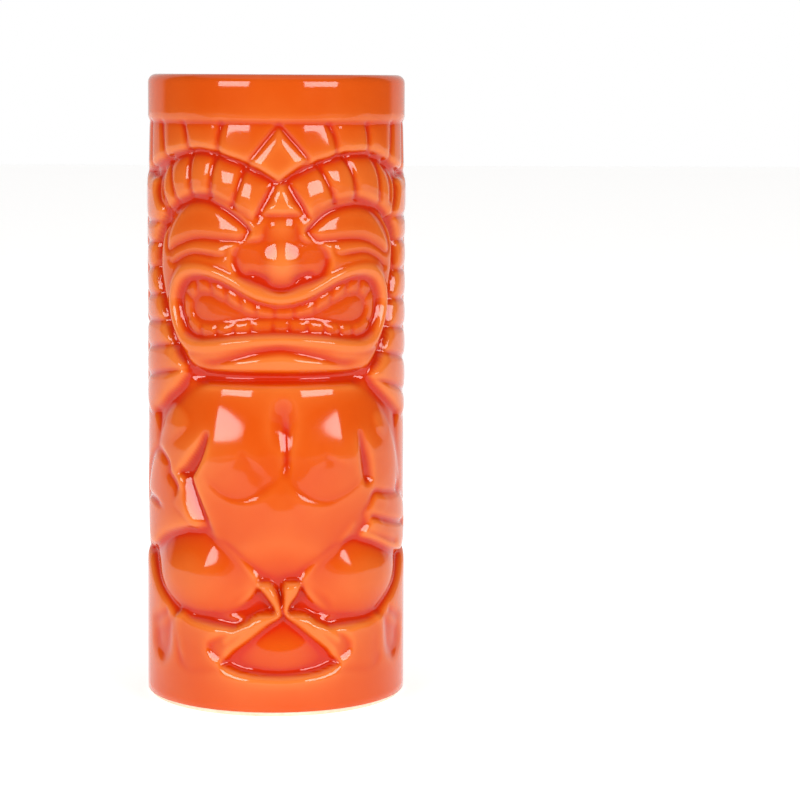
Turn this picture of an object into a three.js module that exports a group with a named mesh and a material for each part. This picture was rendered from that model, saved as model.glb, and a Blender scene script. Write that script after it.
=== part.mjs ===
// Tiki mug: a slip-cast earthenware tumbler with a squatting tiki figure in low relief round its wall.
//
// Three things make it up, and each is one mesh. clay_body is the fired casting: wall, relief, floor and
// bare foot ring. outer_glaze is the coloured coat that it was dipped in, from just above the foot over
// the rim. inner_glaze is the liner poured round the inside. All three are turned on one axis, like a
// pot, and the relief is then pressed into the turned wall.
//
// Millimetres, +Z up. The origin is the centre of the foot, and the figure faces -Y.

import * as THREE from "three";

// Driving dimensions, in mm.
const MUG_HEIGHT = 156;
const MUG_RADIUS = 32.5;
const RIM_BAND = 11.4; // plain band at the lip, above the figure
const RIM_INSET = 0.5; // the band at the lip is this much slimmer than the fullest part of the figure
const BASE_BAND = 10; // plain band that the figure squats on
const CLAY_WALL = 3.7;
const CLAY_FLOOR = 5;
const GLAZE_COAT = 0.5;
const GLAZE_LINER = 0.4;
const LIP_ROUND = 1.6; // half the thickness of the clay lip
const GLAZE_LINE = 1.2; // height of bare clay under the outer glaze
const FOOT_ROUND = 1.4;
const FOOT_RING_WIDTH = 4.5;
const FOOT_RECESS = 1.5;
const INSIDE_CORNER = 7; // radius between the inside wall and the floor
const RELIEF_DEPTH = 1; // 1 is the full depth of the forms below
const LINING_FOLLOWS = 0.55; // share of the softened relief that shows on the inside of a casting

// The skin that shows is cut on a fine grid, closer at the front, where the face is. Surfaces that a
// glaze hides are cut on every second column, and on fewer rows.
const COLUMNS = 72;
const FRONT_CROWDING = 0.4814; // of 72 columns, one then falls square to each side
const FACE_ROWS = 32;
const BODY_ROWS = 24;
const BORE_ROWS = 8;
const HIDDEN_ROW_STEP = 2;
const FACE_FROM = 0.55; // the finer rows begin at the chin, at this share of the figure's height
const RELIEF_FROM = 0.7; // the relief begins at this share of the base band
const BAND_FADE = 1.2; // height over which the relief runs out into the band at the lip
const MOUTH_DEPTH = 8; // height over which the inside widens from the lip's bore to the wall's

const GLAZE_COLOUR = 0xf26322;
const CLAY_COLOUR = 0xf3e6d2;

// ---------------------------------------------------------------------------------------------
// The figure. It is drawn on the unrolled wall: x runs round the mug from the middle of the face, to the
// right as it is looked at, and y is the height, both in mm on a mug of the size below. Levels are
// heights above the plain bands, so they are negative.

const DRAWN_RADIUS = 32.5;
const DRAWN_BASE = 10;
const DRAWN_TOP = 144.6;
const GROUND = -2.4;

const smooth = (t) => {
  const u = Math.min(1, Math.max(0, t));
  return u * u * (3 - 2 * u);
};

const mirrored = (points) => points.map(([x, y]) => [-x, y]);

// A right half that starts and ends on the middle line, closed by its mirror image.
const whole = (half) => [...half, ...mirrored(half.slice(1, -1)).reverse()];

// A curve through a few points, as a list of close ones.
function traced(points, closed) {
  const curve = new THREE.CatmullRomCurve3(
    points.map(([x, y]) => new THREE.Vector3(x, y, 0)),
    closed,
    "centripetal",
  );
  return curve.getPoints(points.length * 5);
}

function distanceTo(line, x, y) {
  let nearest = Infinity;
  for (let i = 1; i < line.length; i++) {
    const a = line[i - 1];
    const b = line[i];
    const dx = b.x - a.x;
    const dy = b.y - a.y;
    const along = ((x - a.x) * dx + (y - a.y) * dy) / (dx * dx + dy * dy || 1);
    const t = Math.min(1, Math.max(0, along));
    nearest = Math.min(nearest, Math.hypot(x - a.x - t * dx, y - a.y - t * dy));
  }
  return nearest;
}

function isInside(line, x, y) {
  let inside = false;
  for (let i = 1; i < line.length; i++) {
    const a = line[i - 1];
    const b = line[i];
    const crosses = a.y > y !== b.y > y;
    if (crosses && x < ((b.x - a.x) * (y - a.y)) / (b.y - a.y) + a.x) inside = !inside;
  }
  return inside;
}

// A form stands on what is below it: its edge rises to level over `edge`, and its middle swells by
// `swell` over `shoulder`.
function form(points, { level, edge = 1.2, swell = 0, shoulder = 6 }) {
  const line = traced(points, true);
  return (below, x, y) => {
    const distance = distanceTo(line, x, y);
    const depth = isInside(line, x, y) ? distance : -distance;
    if (depth < -edge / 2) return below;
    const across = Math.min(1, Math.max(0, depth / shoulder));
    const top = level + swell * Math.sqrt(1 - (1 - across) ** 2);
    return below + (top - below) * smooth(depth / edge + 0.5);
  };
}

function groove(points, depth, width) {
  const line = traced(points, false);
  return (below, x, y) => below - depth * Math.exp(-((distanceTo(line, x, y) / width) ** 2));
}

// ---- Outlines of the right half, from the top down ----

const HEADBAND = [
  [0, 143.8], [25, 143.8], [49, 143.6], [49, 132.6], [44, 133.2], [36, 135], [29, 137.2], [22, 138],
  [15, 136.9],
  [8, 134.4], [0, 131],
];
const HEADBAND_CUTS = [
  [[1.6, 143.6], [7, 134.8]],
  [[13.4, 143.8], [15.6, 137.8]],
  [[25, 143.8], [25.2, 138.2]],
  [[35, 144], [34.6, 136]],
];
const DIAMOND = [[0, 142.8], [3.4, 138.8], [6.8, 135], [3.4, 132.4], [0, 130.4]];
const BROW = [
  [0, 130], [8, 133.6], [15, 136], [22, 137], [29, 136], [36, 133], [38.8, 129], [36.5, 124], [33, 122.3],
  [29, 124.6], [22, 126.6], [15, 125.6], [10, 123], [6.5, 120.8], [0, 122.8],
];
const BROW_CUTS = [
  [[2.7, 129.6], [7.1, 121.8]],
  [[9.6, 133.8], [13.3, 126]],
  [[17.4, 136.4], [20, 127]],
  [[26.8, 136.4], [27.6, 126.8]],
  [[33.4, 134.4], [31.5, 125.6]],
];
const PLAIT = [
  [39, 126], [46, 128], [52, 124], [53, 100], [52, 80], [48, 72], [41, 72.6], [33, 77.5], [28, 83],
  [31, 88.5],
  [34.4, 95], [37, 103], [40, 111], [39.6, 119],
];
const PLAIT_JOINTS = [120, 114.8, 108.2, 101.4, 94.8, 88.4, 81.6];
const HEAD = [
  [0, 123], [10, 123.5], [20, 126], [29, 124], [35, 119.5], [38, 114], [38, 108], [36, 102],
  [33.5, 96], [30, 89.8],
  [26.5, 86], [21, 84.2], [10, 84], [0, 84],
];
const UPPER_LID = [
  [6.8, 118.4], [10.5, 121.6], [15, 124.2], [21, 125.6], [27, 124.4], [32, 120.6], [34.5, 115], [33, 112],
  [27, 114.9], [20, 116.2], [13, 115.9], [8.5, 116.4],
];
const LOWER_LID = [
  [12, 113.9], [20, 114.4], [27, 113.2], [33, 110.4], [31.6, 108.4], [27, 110.8], [21, 111.8],
  [15, 111], [11.6, 111],
];
const CHEEK_LINE = [[33, 108.4], [27, 111.2], [21, 112.4], [14, 111.2]];
const NOSE = [
  [0, 121.6], [3.6, 119.6], [5.2, 116.4], [9.6, 115.2], [12.2, 112.2], [12, 109.2], [10, 106.8],
  [6, 107.2],
  [0, 104.2],
];
const LIPS = [
  [0, 102.6], [7, 104.4], [13.5, 107.4], [20, 109.2], [26, 108.8], [30.4, 105.2], [31.7, 100.5],
  [30.2, 95.6],
  [26.5, 91.4], [21.5, 89.9], [15, 90.2], [8, 91.5], [0, 92.1],
];
const MOUTH = [
  [0, 100.4], [5, 101], [11, 103], [16, 105.6], [21, 106.6], [25.4, 105], [27.2, 100.6], [26, 96],
  [22, 92.6],
  [15, 92.4], [8, 94], [0, 94.4],
];
const UPPER_TEETH = [[0, 98.8], [5, 99.4], [11, 101.2], [16, 103.6], [21, 105]];
const LOWER_TEETH = [[0, 95.4], [8, 94.8], [15, 93.8], [21, 94]];
const LIP_TO_CHIN = [[0, 89.6], [6, 89], [12, 87.5], [18, 86.2], [24, 86.8]];
const TORSO = [
  [0, 80.8], [14, 80.8], [24, 79.8], [30, 76.5], [34.5, 71], [37.5, 65], [39, 58], [30, 54],
  [22.5, 50], [18, 44.6],
  [11, 39.6], [5.5, 35.4], [0, 33],
];
const PECTORAL = [
  [1.6, 71], [8, 74], [17, 73.6], [23, 68.6], [23.6, 62], [20.5, 56], [15.5, 53.4], [10, 52.8],
  [4.6, 55.2],
  [1.8, 59.4],
];
const UPPER_ARM = [
  [24, 70], [29, 74.5], [34, 71.5], [37.5, 65], [41, 57], [40, 51.4], [33, 52.5], [30.6, 57.6],
  [26, 63.5],
];
const FOREARM = [
  [29.8, 57.8], [25.4, 57.8], [21.6, 51.6], [17.8, 45.4], [25, 45.2], [33.4, 43.4], [42, 39.8],
  [47, 46], [41, 53],
];
const THIGH = [
  [13.6, 42.2], [20, 43.4], [28, 43], [35, 40.6], [42, 37], [45, 33.5], [39, 29.2], [33, 26.2], [27, 25],
  [20, 24.8], [12, 24.8], [6.5, 27.8], [4.8, 32.4], [6.4, 36],
];
const SHIN = [[8, 31.8], [3, 30.6], [0.6, 24.8], [4, 22.4], [12, 24.6]];
const FOOT = [
  [0.6, 24.6], [5, 24.6], [10.4, 22.6], [16.2, 19.6], [19, 15.8], [16, 12.6], [11.4, 15.8], [5.4, 20],
];
const FLANK = [[27, 25], [31, 23], [30.6, 12], [24, 10], [18, 13], [17, 19.4], [22, 21]];
const PEDESTAL = [
  [0, 10.6], [9, 11.2], [15, 12.4], [20, 13], [26, 12.6], [33, 14], [50, 22], [62, 23], [66, 6], [0, 4],
];

// The back, which has no face: a fall of hair, the back of the trunk and the haunches.
const BACK_MIDDLE = Math.PI * DRAWN_RADIUS;
const PAST_MIDDLE = BACK_MIDDLE + 1; // outlines run a little over, so that the two halves meet
const HAIR_FROM = 47;
const HAIR_TOP = 146;
const HAIR_TIPS = 72.6;
const HAIR = [
  [HAIR_FROM, HAIR_TOP], [PAST_MIDDLE, HAIR_TOP], [PAST_MIDDLE, HAIR_TIPS], [90, 73], [62, 74], [50, 76],
  [52, 100],
];
const BACK = [[42, 71], [60, 76], [PAST_MIDDLE, 76], [PAST_MIDDLE, 36], [80, 37], [60, 38], [46, 40]];
const HAUNCH = [[45, 38], [60, 41], [80, 41], [97, 37], [97, 28], [80, 24], [60, 25], [44, 29]];
const PLINTH = [[50, 20], [62, 23], [PAST_MIDDLE, 23], [PAST_MIDDLE, 4], [50, 4]];
const STRANDS = 4; // on each side of the back
const STRAND_LENGTHS = 10;
const PARTING_DEPTH = 1.1;
const TIE_DEPTH = 0.8;

function bothSides(points, look) {
  return [form(points, look), form(mirrored(points), look)];
}

function cuts(lines, depth, width) {
  return lines.flatMap((line) => [groove(line, depth, width), groove(mirrored(line), depth, width)]);
}

// Hair behind: strands side by side, each tied in short lengths.
function strands(below, x, y) {
  const across = (STRANDS * (Math.abs(x) - HAIR_FROM)) / (BACK_MIDDLE - HAIR_FROM);
  const along = (STRAND_LENGTHS * (y - HAIR_TIPS)) / (HAIR_TOP - HAIR_TIPS);
  const fade = smooth(across * 4) * smooth(along * 2);
  const parting = Math.cos(Math.PI * across) ** 8;
  const tie = Math.cos(Math.PI * along) ** 8;
  return below - fade * Math.max(PARTING_DEPTH * parting, TIE_DEPTH * tie);
}

const FIGURE = [
  ...bothSides(BACK, { level: -1.5, edge: 2, swell: 0.6, shoulder: 14 }),
  ...bothSides(HAUNCH, { level: -1.6, edge: 2, swell: 1.2, shoulder: 7 }),
  ...bothSides(HAIR, { level: -0.7, edge: 1.6 }),
  strands,
  ...bothSides(PLAIT, { level: -1.1, edge: 1.4, swell: 0.5, shoulder: 3 }),
  ...cuts(PLAIT_JOINTS.map((y) => [[33, y - 1], [50, y + 0.6]]), 0.9, 0.9),
  form(whole(HEADBAND), { level: -0.7, edge: 1.6 }),
  ...cuts(HEADBAND_CUTS, 0.9, 0.9),
  form(whole(HEAD), { level: -1.6, edge: 1.8, swell: 0.7, shoulder: 6 }),
  form(whole(BROW), { level: -1.3, edge: 1.6, swell: 1.1, shoulder: 4.5 }),
  ...cuts(BROW_CUTS, 1, 0.9),
  form(whole(DIAMOND), { level: -1.5, edge: 1.4, swell: 1.5, shoulder: 3 }),
  ...bothSides(UPPER_LID, { level: -2, edge: 1.4, swell: 1.6, shoulder: 4.5 }),
  ...bothSides(LOWER_LID, { level: -1.2, edge: 1.4 }),
  ...cuts([CHEEK_LINE], 0.8, 0.8),
  form(whole(LIPS), { level: -0.5, edge: 1.6 }),
  form(whole(MOUTH), { level: -2.8, edge: 1.8 }),
  ...cuts([UPPER_TEETH], -1.7, 1.5),
  ...cuts([LOWER_TEETH], -1.5, 1.1),
  form(whole(NOSE), { level: -1.1, edge: 1.6, swell: 1.1, shoulder: 5.5 }),
  ...cuts([LIP_TO_CHIN], 0.9, 1),
  form(whole(TORSO), { level: -1.9, edge: 1.8, swell: 1, shoulder: 12 }),
  ...bothSides(PECTORAL, { level: -1.2, edge: 1.8, swell: 1.1, shoulder: 9 }),
  ...bothSides(UPPER_ARM, { level: -1.3, edge: 1.6, swell: 0.9, shoulder: 6 }),
  ...bothSides(THIGH, { level: -1.8, edge: 2, swell: 1.7, shoulder: 8 }),
  ...bothSides(FOREARM, { level: -0.9, edge: 1.6, swell: 0.8, shoulder: 5 }),
  ...bothSides(SHIN, { level: -1.5, edge: 1.4, swell: 0.5, shoulder: 3 }),
  form(whole(PEDESTAL), { level: 0, edge: 1.8 }),
  ...bothSides(PLINTH, { level: 0, edge: 2.4 }),
  ...bothSides(FLANK, { level: -1.2, edge: 2, swell: 0.4 }),
  ...bothSides(FOOT, { level: -0.9, edge: 1.6, swell: 0.7, shoulder: 3 }),
];

// Height of the figure at a point of the drawing.
const figureAt = (x, y) => FIGURE.reduce((below, lay) => lay(below, x, y), GROUND);

// ---------------------------------------------------------------------------------------------
// The wall. Its rings of corners stand at these heights, from the glaze line up to the spring of the lip.

const FIGURE_TOP = MUG_HEIGHT - RIM_BAND;
const CHIN = BASE_BAND + FACE_FROM * (FIGURE_TOP - BASE_BAND);
const CLAY_TOP = MUG_HEIGHT - GLAZE_COAT;
const LIP_SPRING = CLAY_TOP - LIP_ROUND;

// Evenly spaced heights, from the first and up to but without the last.
function steps(from, to, count) {
  return Array.from({ length: count }, (_, i) => from + ((to - from) * i) / count);
}

const WALL_HEIGHTS = [
  GLAZE_LINE,
  GLAZE_LINE + 1.4,
  ...steps(BASE_BAND * RELIEF_FROM, CHIN, BODY_ROWS),
  ...steps(CHIN, FIGURE_TOP - BAND_FADE / 2, FACE_ROWS),
  FIGURE_TOP - BAND_FADE / 2,
  FIGURE_TOP + BAND_FADE / 2,
  LIP_SPRING,
];

// Columns crowd towards the front, and the seam is at the back.
function columnAngle(column) {
  const even = (column / COLUMNS - 0.5) * 2 * Math.PI;
  return even - FRONT_CROWDING * Math.sin(even);
}

// How far the wall stands in from the full radius at one height and column.
function reliefAt(z, column) {
  if (z > FIGURE_TOP) return -RIM_INSET;
  if (z < BASE_BAND * RELIEF_FROM) return 0;
  const y = DRAWN_BASE + ((z - BASE_BAND) / (FIGURE_TOP - BASE_BAND)) * (DRAWN_TOP - DRAWN_BASE);
  return RELIEF_DEPTH * Math.min(0, figureAt(columnAngle(column) * DRAWN_RADIUS, y));
}

const RELIEF = WALL_HEIGHTS.map((z) =>
  Array.from({ length: COLUMNS }, (_, column) => reliefAt(z, column)),
);

const wrap = (column) => (column + COLUMNS) % COLUMNS;

// Every value of the relief within so many rows and columns.
function around(row, column, rows, columns) {
  const values = [];
  for (let i = Math.max(0, row - rows); i <= Math.min(RELIEF.length - 1, row + rows); i++) {
    for (let j = -columns; j <= columns; j++) values.push(RELIEF[i][wrap(column + j)]);
  }
  return values;
}

// ---------------------------------------------------------------------------------------------
// Rings. A ring is a height and a list of radii, one to a column, on all columns or on every second one.

const EVERY = 1;
const SECOND = 2;

function ring(z, radius, stride, relief = () => 0) {
  const columns = Array.from({ length: COLUMNS / stride }, (_, i) => i * stride);
  return { z, stride, radii: columns.map((column) => radius + relief(column)) };
}

const onAxis = (z) => ({ z, stride: COLUMNS, radii: [0] });

// The clay under the glaze: as deep as the deepest glaze that its facets have to pass under.
function hiddenRing(row) {
  return ring(WALL_HEIGHTS[row], CLAY_RADIUS, SECOND, (column) =>
    Math.min(...around(row, column, HIDDEN_ROW_STEP, SECOND)),
  );
}

// A casting's inside is a softened echo of its outside.
function boreRing(z, coat) {
  const row = WALL_HEIGHTS.findIndex((height) => height >= z);
  return ring(z, CLAY_BORE - coat, SECOND, (column) => {
    const near = around(row, column, 3, 3);
    return (LINING_FOLLOWS * near.reduce((sum, value) => sum + value, 0)) / near.length;
  });
}

const CLAY_RADIUS = MUG_RADIUS - GLAZE_COAT;
const CLAY_BORE = CLAY_RADIUS - CLAY_WALL;
const LIP_OUTSIDE = CLAY_RADIUS - RIM_INSET;
const LIP_MIDDLE = LIP_OUTSIDE - LIP_ROUND;
const LIP_BORE = LIP_MIDDLE - LIP_ROUND;
const FOOT_OUTSIDE = CLAY_RADIUS - FOOT_ROUND;
const FOOT_INSIDE = FOOT_OUTSIDE - FOOT_RING_WIDTH;
const FOOT_SLANT = 1; // the foot ring's inner side slants in by this much up to the recess

// The half round of the lip, between its outer and inner springs; coat grows it by a coat of glaze.
function lip(coat) {
  const thickness = LIP_ROUND + coat;
  const turns = [0.25, 0.5, 0.75].map((share) => share * Math.PI);
  return turns.map((a) => {
    const z = LIP_SPRING + thickness * Math.sin(a);
    return ring(z, LIP_MIDDLE + thickness * Math.cos(a), EVERY);
  });
}

// The inside, from under the lip down to the axis. coat is how far it stands off the clay.
function bore(coat) {
  const bottom = CLAY_FLOOR + INSIDE_CORNER;
  const corner = INSIDE_CORNER - coat;
  const heights = steps(LIP_SPRING - MOUTH_DEPTH, bottom + INSIDE_CORNER, BORE_ROWS);
  const wall = heights.map((z) => boreRing(z, coat));
  const turns = [0, 1 / 3, 2 / 3, 1].map((share) => (share * Math.PI) / 2);
  const rounding = turns.map((a) =>
    ring(bottom - corner * Math.sin(a), CLAY_BORE - INSIDE_CORNER + corner * Math.cos(a), SECOND),
  );
  return [...wall, ...rounding, onAxis(CLAY_FLOOR + coat)];
}

// Facets between two rings. Four-cornered patches are split along the same diagonal whichever way the
// rings run, so that two parts that share a wall share its facets too.
function facetsBetween(a, b, indexOf) {
  const facets = [];
  if (a.stride === b.stride) {
    for (let i = 0; i < a.radii.length; i++) {
      const [a0, a1] = [indexOf(a, i), indexOf(a, i + 1)];
      const [b0, b1] = [indexOf(b, i), indexOf(b, i + 1)];
      if (b.z > a.z) facets.push(a0, a1, b1, a0, b1, b0);
      else facets.push(a0, a1, b0, a1, b1, b0);
    }
    return facets;
  }
  const [fine, coarse] = a.stride < b.stride ? [a, b] : [b, a];
  const flip = fine !== a;
  const share = coarse.stride / fine.stride;
  const add = (p, q, r) => facets.push(p, ...(flip ? [r, q] : [q, r]));
  for (let i = 0; i < coarse.radii.length; i++) {
    const [c0, c1] = [indexOf(coarse, i), indexOf(coarse, i + 1)];
    for (let k = 0; k < share; k++) {
      const [f0, f1] = [indexOf(fine, i * share + k), indexOf(fine, i * share + k + 1)];
      add(f0, f1, k < share / 2 ? c0 : c1);
      if (k === share / 2 - 1 && coarse.radii.length > 1) add(f1, c1, c0);
    }
  }
  return facets;
}

function skin(rings) {
  const corners = [];
  const firsts = new Map();
  for (const each of rings) {
    firsts.set(each, corners.length / 3);
    each.radii.forEach((r, i) => {
      const angle = columnAngle(i * each.stride);
      corners.push(r * Math.sin(angle), -r * Math.cos(angle), each.z);
    });
  }
  const indexOf = (each, i) => firsts.get(each) + (i % each.radii.length);
  const facets = rings.slice(1).flatMap((each, i) => facetsBetween(rings[i], each, indexOf));
  const geometry = new THREE.BufferGeometry();
  geometry.setAttribute("position", new THREE.Float32BufferAttribute(corners, 3));
  geometry.setIndex(facets);
  return geometry;
}

function mesh(name, rings, material) {
  const made = new THREE.Mesh(skin(rings), material);
  made.name = name;
  return made;
}

const orangeGlaze = new THREE.MeshStandardMaterial({ color: GLAZE_COLOUR, roughness: 0.1, metalness: 0 });
const firedClay = new THREE.MeshStandardMaterial({ color: CLAY_COLOUR, roughness: 0.75, metalness: 0 });

// ---- What the parts share: the clay under the coat, and the mouth ----

const hiddenRows = WALL_HEIGHTS.map((_, row) => row).filter((row) => row % HIDDEN_ROW_STEP === 0);
const clayWall = [
  ring(GLAZE_LINE, CLAY_RADIUS, EVERY),
  ...hiddenRows.slice(1, -1).map(hiddenRing),
  ring(LIP_SPRING, LIP_OUTSIDE, EVERY),
];
const clayLip = lip(0);
const clayMouth = ring(LIP_SPRING, LIP_BORE, EVERY);
const clayBore = bore(0);

// ---- Clay body ----

const clayFoot = [
  onAxis(FOOT_RECESS),
  ring(FOOT_RECESS, FOOT_INSIDE - FOOT_SLANT, SECOND),
  ring(0, FOOT_INSIDE, EVERY),
  ring(0, FOOT_OUTSIDE, EVERY),
  ring(FOOT_ROUND * (1 - Math.SQRT1_2), FOOT_OUTSIDE + FOOT_ROUND * Math.SQRT1_2, EVERY),
];
const clayRings = [...clayFoot, ...clayWall, ...clayLip, clayMouth, ...clayBore];
const clayBody = mesh("clay_body", clayRings, firedClay);

// ---- Outer glaze: up the outside, over the lip to its inner spring, and back down against the clay ----

const coatWall = WALL_HEIGHTS.map((z, row) =>
  ring(z, MUG_RADIUS, EVERY, (column) => RELIEF[row][column]),
);
const coatMouth = ring(LIP_SPRING, LIP_BORE - GLAZE_COAT, EVERY);
const backToStart = [clayMouth, ...[...clayLip].reverse(), ...[...clayWall].reverse()];
const coatRings = [...coatWall, ...lip(GLAZE_COAT), coatMouth, ...backToStart, coatWall[0]];
const outerGlaze = mesh("outer_glaze", coatRings, orangeGlaze);

// ---- Inner glaze: from the lip's inner spring down and across the floor ----

const linerMouth = ring(LIP_SPRING, LIP_BORE - GLAZE_LINER, EVERY);
const linerRings = [...[...clayBore].reverse(), clayMouth, linerMouth, ...bore(GLAZE_LINER)];
const innerGlaze = mesh("inner_glaze", linerRings, orangeGlaze);

const mug = new THREE.Group();
mug.add(clayBody, outerGlaze, innerGlaze);

export default mug;
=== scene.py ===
"""Tiki mug: a slip-cast tumbler with a squatting figure in relief, dipped in a glossy orange glaze.

The figure is drawn on the wall laid out flat, as on a paper pattern that wraps round the mug: s runs
round it from the middle of the face and z is the height, both in mm. Relief is the height of the surface
over the plain wall, so all of it is nought or less. Each piece is then thrown, as on a wheel, and the
relief is pressed into its wall.
"""

import math

import bpy
import numpy as np
from mathutils import Euler, Matrix, Vector


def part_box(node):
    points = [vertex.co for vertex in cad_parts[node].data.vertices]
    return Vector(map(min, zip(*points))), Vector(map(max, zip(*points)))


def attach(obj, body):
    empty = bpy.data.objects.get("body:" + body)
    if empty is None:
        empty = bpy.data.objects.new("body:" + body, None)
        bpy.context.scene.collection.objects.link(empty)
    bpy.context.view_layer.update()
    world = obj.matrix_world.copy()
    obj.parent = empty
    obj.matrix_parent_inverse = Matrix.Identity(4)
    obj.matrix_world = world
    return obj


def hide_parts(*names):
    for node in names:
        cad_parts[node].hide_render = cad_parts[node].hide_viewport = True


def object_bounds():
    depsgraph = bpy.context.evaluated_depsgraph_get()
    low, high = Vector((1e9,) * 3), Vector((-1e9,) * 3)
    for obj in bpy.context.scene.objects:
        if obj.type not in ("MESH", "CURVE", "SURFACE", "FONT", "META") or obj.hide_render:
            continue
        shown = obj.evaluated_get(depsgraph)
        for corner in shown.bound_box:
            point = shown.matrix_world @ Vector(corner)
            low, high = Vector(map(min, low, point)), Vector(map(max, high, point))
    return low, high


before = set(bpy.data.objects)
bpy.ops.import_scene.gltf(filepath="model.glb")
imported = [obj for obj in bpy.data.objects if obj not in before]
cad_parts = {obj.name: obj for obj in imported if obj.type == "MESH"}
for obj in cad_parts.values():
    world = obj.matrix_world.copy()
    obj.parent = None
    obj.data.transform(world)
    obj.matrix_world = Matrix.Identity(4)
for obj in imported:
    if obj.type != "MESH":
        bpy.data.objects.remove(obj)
CAD_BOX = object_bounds()

MM = 0.001

# ---------------------------------------------------------------------------------------------------
# Sizes, in mm. The outside and the floor come from the frame; the rest is how such a mug is cast.

HIGH = Vector(CAD_BOX[1]) / MM
HEIGHT = HIGH.z
RADIUS = min(HIGH.x, HIGH.y)
COAT = 0.45  # thickness of the glaze
LIP_ROUND = 1.6  # half the thickness of the clay lip
CLAY_RADIUS = RADIUS - COAT
RIM_IN = 0.5  # the rim is this much slimmer than the fullest part of the figure
LIP_MIDDLE = CLAY_RADIUS - RIM_IN - LIP_ROUND
LIP_BORE = LIP_MIDDLE - LIP_ROUND
LIP_SPRING = HEIGHT - COAT - LIP_ROUND
BORE = 28.2
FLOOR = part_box("inner_glaze")[0][2] / MM
CORNER = 7.0  # radius between the wall and the floor inside
GLAZE_LINE = 1.3  # height of the bare clay under the coat
FOOT_ROUND = 1.3
RIM_BAND = 144.7  # the plain band at the rim starts here
BASE_BAND = 9.0  # and the one at the base ends here

# ---------------------------------------------------------------------------------------------------
# Tools for drawing on the flat wall.

GROUND = -2.5  # how deep the wall lies before any form is laid on it
HALF_ROUND = math.pi * RADIUS
BACK = HALF_ROUND  # where the middle of the back lies
ACROSS = 680  # points round the wall
STEP = 2 * HALF_ROUND / ACROSS
PITCH = 0.3  # and between its rows
RISE = np.arange(0, HEIGHT + PITCH / 2, PITCH)
relief = np.full((RISE.size, ACROSS), GROUND)


def smooth(t):
    """Rises from 0 to 1 with a soft start and a soft end."""
    t = np.clip(t, 0, 1)
    return t * t * (3 - 2 * t)


def dome(t):
    """Rises from 0 to 1 as a quarter round does."""
    return np.sqrt(1 - (1 - np.clip(t, 0, 1)) ** 2)


def mirrored(points):
    """The same points on the other side of the face."""
    return [(-s, z) for s, z in points]


def whole(half):
    """A half that starts and ends on the middle line, closed by its mirror image."""
    return half + mirrored(half[1:-1])[::-1]


def behind(half):
    """A half that starts and ends on the middle line of the back, closed by its mirror image."""
    return half + [(2 * BACK - s, z) for s, z in half[-2:0:-1]]


def traced(points, closed=False):
    """A smooth curve through a few points, as short straight steps."""
    p = np.array(points, float)
    if closed:
        p = np.vstack([p[-1], p, p[0], p[1]])
    else:
        p = np.vstack([2 * p[0] - p[1], p, 2 * p[-1] - p[-2]])
    gap = np.sqrt(np.maximum(np.hypot(*np.diff(p, axis=0).T), 1e-3))  # a square root, so no loops
    out = []
    for i in range(1, len(p) - 2):
        a, b, c, d = p[i - 1 : i + 3]
        t1, t2 = gap[i - 1], gap[i - 1] + gap[i]
        t3 = t2 + gap[i + 1]
        t = np.linspace(t1, t2, max(2, int(gap[i] ** 2 / 0.9)), endpoint=False)[:, None]
        a1 = a + (b - a) * t / t1
        a2 = b + (c - b) * (t - t1) / (t2 - t1)
        a3 = c + (d - c) * (t - t2) / (t3 - t2)
        b1 = a1 + (a2 - a1) * t / t2
        b2 = a2 + (a3 - a2) * (t - t1) / (t3 - t1)
        out.append(b1 + (b2 - b1) * (t - t1) / (t2 - t1))
    if not closed:
        out.append(p[-2][None])
    return np.vstack(out)


def patch(line, margin):
    """The stretch of wall round a line: where it lies in the relief, and the s and z of its points."""
    low, high = line.min(0) - margin, line.max(0) + margin
    rows = np.arange(max(0, int(low[1] / PITCH)), min(RISE.size, int(high[1] / PITCH) + 2))
    first, last = (int((s + HALF_ROUND) // STEP) for s in (low[0], high[0]))
    columns = np.arange(first, last + 2)
    if columns.size > ACROSS:  # a line longer than the mug is round
        columns = np.arange(ACROSS)
    s, z = np.meshgrid(columns * STEP - HALF_ROUND, RISE[rows])
    return np.ix_(rows, columns % ACROSS), s, z


def nearest(line, s, z):
    """Distance to a line, the side of it (1 is left of the way it runs) and the share of it passed."""
    best = np.full(s.shape, 1e9)
    side = np.ones(s.shape)
    along = np.zeros(s.shape)
    count = len(line) - 1
    for i, (a, b) in enumerate(zip(line, line[1:])):
        d = b - a
        u, v = s - a[0], z - a[1]
        t = np.clip((u * d[0] + v * d[1]) / max(1e-9, d @ d), 0, 1)
        r = np.hypot(u - t * d[0], v - t * d[1])
        near = r < best - 1e-9
        best[near] = r[near]
        side[near] = np.sign(d[0] * v - d[1] * u)[near]
        along[near] = ((i + t) / count)[near]
    return best, side, along


def depth_inside(line, s, z):
    """Distance in from an outline; negative outside it."""
    odd = np.zeros(s.shape, bool)
    for a, b in zip(line, line[1:]):
        if a[1] != b[1]:
            odd ^= ((a[1] > z) != (b[1] > z)) & (s < (b[0] - a[0]) * (z - a[1]) / (b[1] - a[1]) + a[0])
    r, _, _ = nearest(line, s, z)
    return np.where(odd, r, -r)


def closed_line(points, corners):
    """An outline, joined up: straight between its points if it has corners, else a curve through them."""
    line = np.array(points, float) if corners else traced(points, True)
    return np.vstack([line, line[:1]])


def form(points, level, edge=1.0, crown=0.0, shoulder=5.0, corners=False, keep=None, lean=(0, 0)):
    """Lays a form over an outline: level at its edge, and crown higher a shoulder's width in.

    Lean is a height and a slope: the form falls back above that height and stands out below it.
    """
    line = closed_line(points, corners)
    where, s, z = patch(line, edge)
    d = depth_inside(line, s, z)
    top = level + crown * dome(d / shoulder) + lean[1] * (lean[0] - z)
    below = relief[where]
    if keep:
        top = keep(top, below)
    relief[where] = below + (top - below) * smooth(d / edge + 0.5)


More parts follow.
